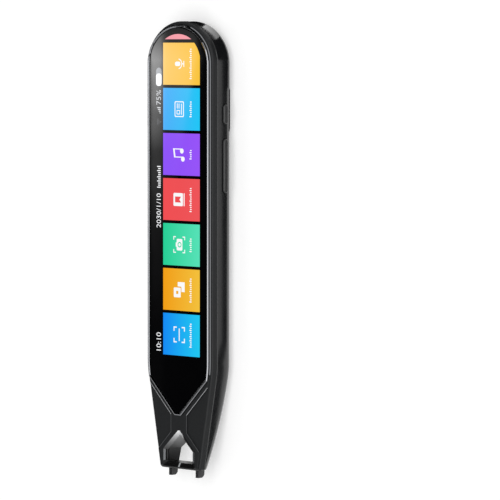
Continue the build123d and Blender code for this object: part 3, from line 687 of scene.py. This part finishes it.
def coated_lens():
    """Coated optical glass: dark, with the violet sheen of its coating where it is seen square on."""
    material, tree, place = empty_material("coated_lens")
    facing = add_node(tree, "ShaderNodeLayerWeight", {"Blend": 0.35}).outputs["Facing"]
    cloud = add_node(tree, "ShaderNodeTexNoise", {"Vector": place, "Scale": noise_scale(1.5)})
    sheen = add_node(
        tree, "ShaderNodeMath", {0: facing, 1: cloud.outputs["Fac"]}, operation="MULTIPLY"
    )
    mixed = {"Factor": sheen.outputs[0], "A": linear("#1a1430"), "B": linear("#0b2a2e")}
    tone = add_node(tree, "ShaderNodeMix", mixed, data_type="RGBA")
    shader = add_node(
        tree,
        "ShaderNodeBsdfPrincipled",
        {"Base Color": tone.outputs["Result"], "Roughness": 0.03, "IOR": 1.6, "Coat Weight": 0.5},
    )
    add_node(tree, "ShaderNodeOutputMaterial", {"Surface": shader.outputs["BSDF"]})
    return material


# ---- how shapes are made -------------------------------------------------------------------------
def add_object(name, data):
    """Puts a mesh, a text, a lamp or the camera into the scene."""
    made = bpy.data.objects.new(name, data)
    bpy.context.scene.collection.objects.link(made)
    return made


def add_mesh(name, mesh, material):
    """Makes an object of a finished mesh, with one material."""
    data = bpy.data.meshes.new(name)
    mesh.to_mesh(data)
    mesh.free()
    data.materials.append(material)
    return add_object(name, data)


def disc(u, v, radius, points=28):
    """A circle round (u, v)."""
    angles = [2 * pi * i / points for i in range(points)]
    return [(u + radius * cos(a), v + radius * sin(a)) for a in angles]


def slab(u, v, width, height, corner=0.0, points=5):
    """A rectangle round (u, v), with rounded corners if corner is given."""
    if not corner:
        return [
            (u - width / 2, v - height / 2),
            (u + width / 2, v - height / 2),
            (u + width / 2, v + height / 2),
            (u - width / 2, v + height / 2),
        ]
    outline = []
    for turn, side_u, side_v in ((180, -1, -1), (270, 1, -1), (0, 1, 1), (90, -1, 1)):
        middle_u = u + side_u * (width / 2 - corner)
        middle_v = v + side_v * (height / 2 - corner)
        for i in range(points):
            a = radians(turn + 90 * i / (points - 1))
            outline.append((middle_u + corner * cos(a), middle_v + corner * sin(a)))
    return outline


def bow(u, v, radius, width, start, end, points=20):
    """An arc's stroke, from start to end in degrees."""
    angles = [radians(start + (end - start) * i / (points - 1)) for i in range(points)]
    far, near = radius + width / 2, radius - width / 2
    outer = [(u + far * cos(a), v + far * sin(a)) for a in angles]
    inner = [(u + near * cos(a), v + near * sin(a)) for a in reversed(angles)]
    return outer + inner


def add_plate(mesh, outlines, low, high):
    """Adds one flat plate to the mesh: its outline first, then its holes, all as (x, y)."""
    flat = [[Vector((x, y, 0)) for x, y in outline] for outline in outlines]
    places = [p for outline in flat for p in outline]
    tops = [mesh.verts.new((p.x * MM, p.y * MM, high * MM)) for p in places]
    feet = [mesh.verts.new((p.x * MM, p.y * MM, low * MM)) for p in places]
    for a, b, c in tessellate_polygon(flat):
        mesh.faces.new((tops[a], tops[b], tops[c]))
        mesh.faces.new((feet[c], feet[b], feet[a]))
    first = 0
    for outline in flat:
        count = len(outline)
        for i in range(count):
            a, b = first + i, first + (i + 1) % count
            mesh.faces.new((feet[a], feet[b], tops[b], tops[a]))
        first += count


# ---- what the screen shows -----------------------------------------------------------------------
def brackets(half, arm, width):
    """The four corner marks of a scan frame."""
    plates = []
    for side_u in (-1, 1):
        for side_v in (-1, 1):
            corner = [(0, 0), (-arm, 0), (-arm, -width), (-width, -width), (-width, -arm), (0, -arm)]
            outline = [(side_u * (half + u), side_v * (half + v)) for u, v in corner]
            plates.append([outline if side_u * side_v < 0 else outline[::-1]])
    return plates


icons = (  # one for each tile, from the crown down
    # a microphone on its stand
    [
        [slab(0, 0.75, 1.5, 2.6, 0.74)],
        [bow(0, 0.4, 1.6, 0.34, 185, 355)],
        [slab(0, -1.65, 0.34, 0.8)],
        [slab(0, -2.2, 2.0, 0.36)],
    ],
    # a page with a picture and lines
    [
        [slab(0, 0, 5.3, 4.4, 0.5), slab(0, 0, 4.6, 3.7, 0.3)[::-1]],
        [slab(-1.05, 0.45, 1.5, 1.6, 0.2), slab(-1.05, 0.45, 0.9, 1.0, 0.1)[::-1]],
        [slab(1.05, 0.95, 1.7, 0.34)],
        [slab(1.05, 0.1, 1.7, 0.34)],
        [slab(0, -1.05, 3.7, 0.34)],
    ],
    # two notes under one beam
    [
        [disc(-1.55, -1.75, 0.85)],
        [disc(1.15, -1.25, 0.85)],
        [slab(-0.9, 0.3, 0.34, 4.1)],
        [slab(1.8, 0.8, 0.34, 4.1)],
        [[(-1.07, 1.75), (1.97, 2.25), (1.97, 2.95), (-1.07, 2.45)]],
    ],
    # a closed book with its ribbon
    [
        [slab(0, 0.5, 4.4, 4.5, 0.45), [(-1, 2), (-1, -0.9), (0, -0.1), (1, -0.9), (1, 2)]],
        [slab(0, -2.35, 4.4, 0.4, 0.15)],
    ],
    # a camera in a scan frame
    [
        *brackets(2.8, 1.2, 0.34),
        [slab(0, -0.15, 3.9, 2.7, 0.4), disc(0, -0.15, 0.95)[::-1]],
        [disc(0, -0.15, 0.55)],
        [slab(0, 1.4, 1.5, 0.5, 0.15)],
    ],
    # two cards, one over the other
    [
        [slab(-0.95, 0.95, 3.3, 3.3, 0.35), slab(-0.95, 0.95, 1.1, 1.1, 0.2)[::-1]],
        [[(1.1, 0.7), (2.6, 0.7), (2.6, -2.6), (-0.7, -2.6), (-0.7, -1.1), (0.7, -1.1), (1.1, -0.9)]],
    ],
    # a scan frame with its line
    [*brackets(2.7, 1.5, 0.42), [slab(0, 0, 4.2, 0.4)]],
)


def lit_piece(name, plates, material, low):
    """One piece of the screen's picture, made of flat plates that stand on the glass."""
    mesh = bmesh.new()
    for outlines in plates:
        add_plate(mesh, outlines, low, low + layer)
    bmesh.ops.recalc_face_normals(mesh, faces=mesh.faces)
    piece = add_mesh(name, mesh, material)
    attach(piece, "pen")
    return piece


def turned(plates, x, y):
    """Plates drawn upright, turned to read from the nose to the crown and put round (x, y)."""
    return [[[(x - v, y + u) for u, v in outline] for outline in outlines] for outlines in plates]


def arch_cut(low, high, left, right, middle, radius, points=14):
    """A rectangle whose upper corners are cut by the lit area's round end."""
    corners = [(left, low), (right, low)]
    for side, edge in ((1, right), (-1, left)):
        rise = sqrt(radius**2 - edge**2) + middle if abs(edge) < radius else low
        if rise >= high:
            corners.append((edge, high))
            continue
        end = side * sqrt(max(radius**2 - (high - middle) ** 2, 0.0))
        xs = [edge + (end - edge) * i / (points - 1) for i in range(points)]
        cut = [(x, middle + sqrt(max(radius**2 - x**2, 0.0))) for x in xs]
        corners += cut if side > 0 else cut[::-1]
    return corners


def number(name, words, height, x, y, material):
    """Plain numbers on the screen, reading from the nose to the crown."""
    letters = bpy.data.curves.new(name, "FONT")
    letters.body = words
    letters.size = height * MM
    letters.extrude = layer / 2 * MM
    letters.resolution_u = 4
    letters.align_x = "CENTER"
    letters.align_y = "CENTER"
    draft = add_object(name + "_draft", letters)
    bpy.context.view_layer.update()
    data = bpy.data.meshes.new_from_object(draft.evaluated_get(bpy.context.evaluated_depsgraph_get()))
    bpy.data.objects.remove(draft)
    turn = Matrix.Rotation(radians(90), 4, "Z")
    data.transform(Matrix.Translation((x * MM, y * MM, (glass_top + layer / 2) * MM)) @ turn)
    data.name = name
    data.materials.clear()
    data.materials.append(material)
    piece = add_object(name, data)
    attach(piece, "pen")


def nose_painted_edge_highlights():
    """Thin pale lines along the edges of the nose's raised band: painted highlights that stand in for
    light caught by its edges, brighter on its arms than on its legs.
    """
    # painted highlights: a pale grey for the arms' edges and a darker grey for the legs', as the light
    # catches them
    paint = surface(
        "painted_edge_highlight",
        ("#a9aaac", "#b9babc"),
        rough=(0.35, 0.45),
        grain=0.4,
        relief=0.001,
        IOR=1.5,
    )
    faint = surface(
        "faint_painted_edge_highlight",
        ("#4c4d4f", "#58595b"),
        rough=(0.35, 0.45),
        grain=0.4,
        relief=0.001,
        IOR=1.5,
    )
    for hand, side in (("left", -1), ("right", 1)):
        arm, leg = [], []
        for inset in edge_line:
            slant = inset * sqrt(2)
            bend = side * (waist - inset)
            high = (bend, arm_meet + waist - inset + slant)
            low = (bend, leg_meet - waist + inset - slant)
            arm.append([(side * arm_end, arm_meet + arm_end + slant), high])
            leg.append([high, low, (side * leg_end, leg_meet - leg_end - slant)])
        for part, (near, far), finish in (("arm", arm, paint), ("leg", leg, faint)):
            name = f"nose_{part}_line_{hand}"
            piece = lit_piece(name, [[near + far[::-1]]], finish, front - nose_band_drop)


def word_bars(length, tall=1.0):
    """Bars of letter size in a row, in place of a word."""
    plates = []
    count = max(int(length / bar_step), 1)
    for i in range(count):
        rise = tall * bar_rises[i % len(bar_rises)]
        u = (i - (count - 1) / 2) * bar_step
        plates.append([slab(u, (rise - tall) / 2, bar_width, rise, bar_corner, points=3)])
    return plates


def screen_picture():
    """The start page: seven tiles with their pictures, the cap of the next one, and the status line."""
    white = lit_layer("lit_white", "#f4f6f8", "#ffffff")
    grey = lit_layer("lit_grey", "#8b8f95", "#8b8f95")
    dim = lit_layer("lit_dim", "#4a4c50", "#4a4c50")
    pale = lit_layer("lit_pale", "#c9ccd0", "#c9ccd0")
    for i, (colour, left, right) in enumerate(tile_colours):
        high = tile_top - i * tile_pitch
        low = high - tile_height
        if i == 0:
            outline = arch_cut(low, high, tile_left, tile_right, arch_middle, arch_radius)
        else:
            outline = [(tile_left, low), (tile_right, low), (tile_right, high), (tile_left, high)]
        shown = lit_layer(f"lit_{colour}", left, right)
        lit_piece(f"tile_{colour}", [[outline]], shown, glass_top)
        middle = (low + high) / 2
        lit_piece(f"picture_{colour}", turned(icons[i], icon_x, middle), white, glass_top + layer)
        caption = turned(word_bars(label_lengths[i]), label_x, middle)
        lit_piece(f"caption_{colour}", caption, white, glass_top + layer)
    half = sqrt(cap_radius**2 - (cap_chord - cap_middle) ** 2)
    steps = 24
    xs = [half - 2 * half * i / steps for i in range(steps + 1)]
    cap = [(x, cap_middle + sqrt(cap_radius**2 - x**2)) for x in xs]
    lit_piece("tile_pink", [[cap]], lit_layer("lit_pink", "#f39aa6", "#f7a0a8"), glass_top)
    battery = slab(status_x, battery_y, *battery_shape, points=6)
    charge = slab(status_x, charge_y, *charge_shape, points=6)
    lit_piece("battery_outline", [[battery]], grey, glass_top)
    lit_piece("battery_charge", [[charge]], white, glass_top + layer)
    number("battery_percent", "75%", percent_height, status_x, percent_y, pale)
    signal = [[slab(-0.9 + 0.6 * i, -0.6 + 0.2 * i, 0.36, 0.5 + 0.4 * i)] for i in range(4)]
    lit_piece("signal_bars", turned(signal, status_x, signal_y), pale, glass_top)
    waves = [[bow(0, -1.0, 0.55 + 0.6 * i, 0.3, 50, 130, points=9)] for i in range(3)]
    waves.append([disc(0, -0.95, 0.28, points=12)])
    lit_piece("radio_waves", turned(waves, status_x, waves_y), dim, glass_top)
    number("date_numbers", "2030/1/10", date_height, status_x, date_y, white)
    date_word = turned(word_bars(date_word_length, date_word_height), status_x, date_word_y)
    lit_piece("date_word", date_word, white, glass_top)
    number("clock_numbers", "10:10", clock_height, status_x, clock_y, white)


# ---- camera, floor and light ---------------------------------------------------------------------
def place_camera():
    """The camera looks from the pen's right and is turned so that the pen stands left of the middle."""
    turn, lift = radians(camera_turn), radians(camera_lift)
    away = Vector((sin(turn) * cos(lift), sin(lift), cos(turn) * cos(lift)))
    right = Vector((0, 1, 0)).cross(away).normalized()
    up = away.cross(right)
    focal_px = camera_distance * px_per_mm
    aside = atan((image_px / 2 - axis_px) / focal_px)
    forward = right * sin(aside) - away * cos(aside)
    side = forward.cross(up).normalized()
    data = bpy.data.cameras.new("camera")
    data.sensor_width = sensor_width
    data.lens = focal_px * cos(aside) / image_px * sensor_width
    data.clip_start, data.clip_end = clip_near * MM, clip_far * MM
    camera = add_object("camera", data)
    turn_to = Matrix((side, up, -forward)).transposed().to_4x4()
    place = (Vector((0, 0, front)) + away * camera_distance) * MM
    camera.matrix_world = Matrix.Translation(place) @ turn_to
    bpy.context.scene.camera = camera


def flat_sheet(name, width, length, material):
    """A flat sheet round its own middle, for the floor and the studio cards."""
    mesh = bmesh.new()
    corners = [(-1, -1), (1, -1), (1, 1), (-1, 1)]
    mesh.faces.new([mesh.verts.new((x * width / 2 * MM, y * length / 2 * MM, 0)) for x, y in corners])
    sheet = add_mesh(name, mesh, material)
    return sheet


def seen_directly(tree):
    """1 for rays that come from the camera, from a mirror or through glass, and 0 for the others."""
    path = add_node(tree, "ShaderNodeLightPath").outputs
    seen = path["Is Camera Ray"]
    for kind in ("Is Glossy Ray", "Is Transmission Ray"):
        seen = add_node(tree, "ShaderNodeMath", {0: seen, 1: path[kind]}, operation="MAXIMUM").outputs[0]
    return seen


def make_floor():
    """Matt pale table top, lifted to white where nothing shades it, and clear from below."""
    material, tree, place = empty_material("pale_table")
    mottle = add_node(
        tree, "ShaderNodeTexNoise", {"Vector": place, "Scale": noise_scale(floor_mottle)}
    ).outputs["Fac"]
    mixed = {"Factor": mottle, "A": linear(floor_tones[0]), "B": linear(floor_tones[1])}
    tone = add_node(tree, "ShaderNodeMix", mixed, data_type="RGBA")
    lift = add_node(tree, "ShaderNodeMath", {0: seen_directly(tree), 1: floor_lift}, operation="MULTIPLY")
    shader = add_node(
        tree,
        "ShaderNodeBsdfPrincipled",
        {
            "Base Color": tone.outputs["Result"],
            "Roughness": 0.9,
            "Specular IOR Level": 0.2,
            "Emission Color": linear("#ffffff"),
            "Emission Strength": lift.outputs[0],
        },
    )
    under = add_node(tree, "ShaderNodeNewGeometry").outputs["Backfacing"]
    clear = add_node(tree, "ShaderNodeBsdfTransparent")
    sided = add_node(
        tree, "ShaderNodeMixShader", {0: under, 1: shader.outputs["BSDF"], 2: clear.outputs["BSDF"]}
    )
    add_node(tree, "ShaderNodeOutputMaterial", {"Surface": sided.outputs["Shader"]})
    table = flat_sheet("table_top", floor_side, floor_side, material)
    table.location.z = -floor_gap * MM


def make_sky():
    """White all round for the camera and for gloss, and dimmer as a light."""
    world = bpy.data.worlds.new("studio")
    world.use_nodes = True
    tree = world.node_tree
    tree.nodes.clear()
    level = add_node(
        tree, "ShaderNodeMapRange", {"Value": seen_directly(tree), "To Min": sky_for_light, "To Max": 1.0}
    )
    shade = add_node(
        tree, "ShaderNodeBackground", {"Color": linear("#ffffff"), "Strength": level.outputs["Result"]}
    )
    add_node(tree, "ShaderNodeOutputWorld", {"Surface": shade.outputs[0]})
    bpy.context.scene.world = world


def aim(thing, place, target):
    """Puts a lamp or card at a place with its -Z towards the target and its Y along the pen."""
    back = (place - target).normalized()
    across = Vector((0, 1, 0)).cross(back).normalized()
    along = back.cross(across)
    turn_to = Matrix((across, along, back)).transposed().to_4x4()
    thing.matrix_world = Matrix.Translation(place * MM) @ turn_to


def add_softbox(name, tilt, distance, size, radiance):
    """A large soft lamp over the pen, tilted from straight above to the pen's right."""
    data = bpy.data.lights.new(name, "AREA")
    data.shape = "RECTANGLE"
    data.size, data.size_y = size[0] * MM, size[1] * MM
    data.energy = radiance * pi * data.size * data.size_y
    lamp = add_object(name, data)
    a = radians(tilt)
    aim(lamp, Vector((sin(a), 0, cos(a))) * distance, Vector((0, 0, 0)))


def only_for_gloss(card):
    """Keeps a studio card out of sight, light and shadow: it shows in gloss alone."""
    for ray in ("camera", "diffuse", "transmission", "shadow"):
        setattr(card, f"visible_{ray}", False)


def set_levels(ramp, span, levels):
    """Gives a colour ramp that covers a span of places its grey levels, each at its own place."""
    stops = ramp.elements
    stops.remove(stops[1])
    for i, (place, level) in enumerate(levels):
        position = (place - span[0]) / (span[1] - span[0])
        stop = stops.new(position) if i else stops[0]
        stop.position = position
        stop.color = (level, level, level, 1)


def glass_card():
    """A black card that the screen mirrors, with a soft light patch that the glass's upper left shows."""
    material, tree, place = empty_material("card_with_glow")
    split = add_node(tree, "ShaderNodeSeparateXYZ", {"Vector": place})
    across, along = split.outputs["X"], split.outputs["Y"]
    # from a place on the glass to the place on the card that it mirrors
    spread_x, spread_y, shift_y = *glow_spread, glow_shift - card_shift
    fall = add_node(
        tree,
        "ShaderNodeMapRange",
        {
            "Value": along,
            "From Min": (glow_span_y[0] * spread_y + shift_y) * MM,
            "From Max": (glow_span_y[1] * spread_y + shift_y) * MM,
        },
    )
    strong = add_node(tree, "ShaderNodeValToRGB", {"Fac": fall.outputs["Result"]})
    set_levels(strong.color_ramp, glow_span_y, glow_along)
    reach = add_node(
        tree,
        "ShaderNodeMapRange",
        {
            "Value": across,
            "From Min": glow_span_x[0] * spread_x * MM,
            "From Max": glow_span_x[1] * spread_x * MM,
        },
    )
    edge = add_node(tree, "ShaderNodeValToRGB", {"Fac": reach.outputs["Result"]})
    set_levels(edge.color_ramp, glow_span_x, glow_across)
    limit = add_node(
        tree,
        "ShaderNodeMapRange",
        {
            "Value": along,
            "From Min": (glow_limit_y[0] * spread_y + shift_y) * MM,
            "From Max": (glow_limit_y[1] * spread_y + shift_y) * MM,
            "To Min": glow_limit_x[0] * spread_x * MM,
            "To Max": glow_limit_x[1] * spread_x * MM,
        },
    )
    beyond = add_node(
        tree, "ShaderNodeMath", {0: across, 1: limit.outputs["Result"]}, operation="SUBTRACT"
    )
    inside = add_node(
        tree,
        "ShaderNodeMapRange",
        {
            "Value": beyond.outputs[0],
            "From Min": -glow_limit_blur * MM,
            "From Max": glow_limit_blur * MM,
            "To Min": 1.0,
            "To Max": 0.0,
        },
    )
    both = add_node(
        tree,
        "ShaderNodeMath",
        {0: edge.outputs["Color"], 1: inside.outputs["Result"]},
        operation="MULTIPLY",
    )
    strength = add_node(
        tree, "ShaderNodeMath", {0: both.outputs[0], 1: glow_strength}, operation="MULTIPLY"
    )
    glow = add_node(
        tree, "ShaderNodeEmission", {"Color": strong.outputs["Color"], "Strength": strength.outputs[0]}
    )
    add_node(tree, "ShaderNodeOutputMaterial", {"Surface": glow.outputs[0]})
    card = flat_sheet("glass_card", card_size[0], card_size[1], material)
    turn = radians(camera_turn)
    facing = Vector((0, card_shift, front))
    aim(card, Vector((-sin(turn), 0, cos(turn))) * card_distance + facing, facing)
    only_for_gloss(card)


def card_piece(name, plates, material):
    """A studio card cut to shape. Each plate comes with its low and high side."""
    mesh = bmesh.new()
    for outline, low, high in plates:
        add_plate(mesh, [outline], low, high)
    card = add_mesh(name, mesh, material)
    only_for_gloss(card)


def edge_strip(side, near, far, nose_near, nose_far):
    """A strip on the table along one side of the pen and its nose, from near to far outside its edge."""
    nears = (crown_near, crown_near, near, near, nose_near, nose_near, nose_near)
    fars = (far, far, far, far, nose_far, nose_far, nose_far)
    inner = [(side * (x + out), y) for (x, y), out in zip(strip_points, nears)]
    outer = [(side * (x + out), y) for (x, y), out in zip(strip_points, fars)]
    return inner + outer[::-1]


def crown_arc(radii, arc):
    """A strip on the table round the crown, between two radii and two angles in degrees."""
    near, far = radii
    return bow(0, crown_centre, (near + far) / 2, far - near, *arc, points=24)


def table_cards():
    """Cards on the table that only gloss sees: black ones give the pen's sides a dark lower edge and its
    crown depth, white ones under its edges light its back rounding, and one puts a glare on the crown."""
    material, tree, place = empty_material("black_velvet")
    nap = add_node(tree, "ShaderNodeTexNoise", {"Vector": place, "Scale": noise_scale(1.0)})
    mixed = {"Factor": nap.outputs["Fac"], "A": linear("#030303"), "B": linear("#060606")}
    tone = add_node(tree, "ShaderNodeMix", mixed, data_type="RGBA")
    shader = add_node(
        tree,
        "ShaderNodeBsdfPrincipled",
        {"Base Color": tone.outputs["Result"], "Roughness": 1.0, "Specular IOR Level": 0.0},
    )
    add_node(tree, "ShaderNodeOutputMaterial", {"Surface": shader.outputs["BSDF"]})
    black = [crown_arc(collar_radii, arc) for arc in collar_arcs]
    black.append(crown_arc(shade_radii, glare_arc))
    black += [edge_strip(side, *black_strips) for side in (-1, 1)]
    x, y, width, length = island_card
    black += [slab(side * x, y, width, length) for side in (-1, 1)]
    black += [slab(*card) for card in left_cards]
    plates = [(outline, *card_levels) for outline in black]
    plates += [(slab(*left_wall), *left_wall_levels), (slab(*high_card), *high_levels)]
    card_piece("black_cards", plates, material)

    material, tree, place = empty_material("white_card")
    glow = add_node(tree, "ShaderNodeEmission", {"Color": linear("#ffffff"), "Strength": white_strength})
    add_node(tree, "ShaderNodeOutputMaterial", {"Surface": glow.outputs[0]})
    white = [(edge_strip(side, *white_strips), *low_levels) for side in (-1, 1)]
    card_piece("white_cards", white, material)

    material, tree, place = empty_material("crown_reflector")
    middle = (0, crown_centre * MM, sum(card_levels) / 2 * MM)
    reach = add_node(tree, "ShaderNodeVectorMath", {0: place, 1: middle}, operation="DISTANCE")
    level = add_node(
        tree,
        "ShaderNodeMapRange",
        {
            "Value": reach.outputs["Value"],
            "From Min": glare_run[0] * MM,
            "From Max": glare_run[1] * MM,
            "To Min": glare_levels[0],
            "To Max": glare_levels[1],
        },
    )
    glow = add_node(
        tree, "ShaderNodeEmission", {"Color": linear("#ffffff"), "Strength": level.outputs["Result"]}
    )
    add_node(tree, "ShaderNodeOutputMaterial", {"Surface": glow.outputs[0]})
    card_piece("crown_reflector", [(crown_arc(glare_radii, glare_arc), *card_levels)], material)


# ---- dressing the frame --------------------------------------------------------------------------
finishes = {
    abs_shell: ("back_cover",),
    frame_shell: ("front_frame",),
    black_chrome: ("bezel_ring",),
    bordered_glass: ("cover_glass",),
    liner_with_painted_light: ("window_liner",),
    frosted_guide: ("scan_light_left", "scan_light_right"),
    pale_tick: ("window_tick",),
    nylon_prong: ("trigger_fork",),
    satin_key: ("power_key", "volume_key", "voice_key"),
    gloss_island: ("camera_island",),
    anodised_ring: ("rear_camera_ring",),
    lens_barrel: ("scan_camera", "rear_camera"),
    coated_lens: ("scan_lens", "rear_camera_glass"),
    milky_diffuser: ("flash_lens",),
    lamp_phosphor: ("flash_led",),
    smoked_lamps: ("scan_leds",),
    dark_panel: ("display_panel",),
    stamped_steel: ("display_plate", "right_key_bracket", "left_key_bracket", "shield_can", "microphone"),
    spring_wire: ("trigger_spring",),
    zinc_screw: ("board_screws",),
    port_shell: ("usb_port",),
    foam_tape: ("display_tape", "battery_pad", "speaker_gasket"),
    epoxy_chip: ("trigger_switch", "processor", "memory_chip", "power_chip", "board_connectors"),
    pouch_foil: ("battery",),
    speaker_box: ("speaker",),
    solder_board: ("scan_board", "main_board"),
    amber_flex: (
        "display_flex",
        "scan_flex",
        "right_key_flex",
        "left_key_flex",
        "antenna_flex",
        "battery_lead",
    ),
    woven_mesh: ("speaker_mesh",),
}

for finish, nodes in finishes.items():
    made = finish()
    for node in nodes:
        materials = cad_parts[node].data.materials
        materials.clear()
        materials.append(made)

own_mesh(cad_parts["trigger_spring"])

screen_picture()
nose_painted_edge_highlights()
place_camera()
make_floor()
make_sky()
add_softbox("overhead", softbox_tilt, softbox_distance, softbox_size, softbox_radiance)
glass_card()
table_cards()

bpy.context.scene.view_settings.view_transform = "Standard"
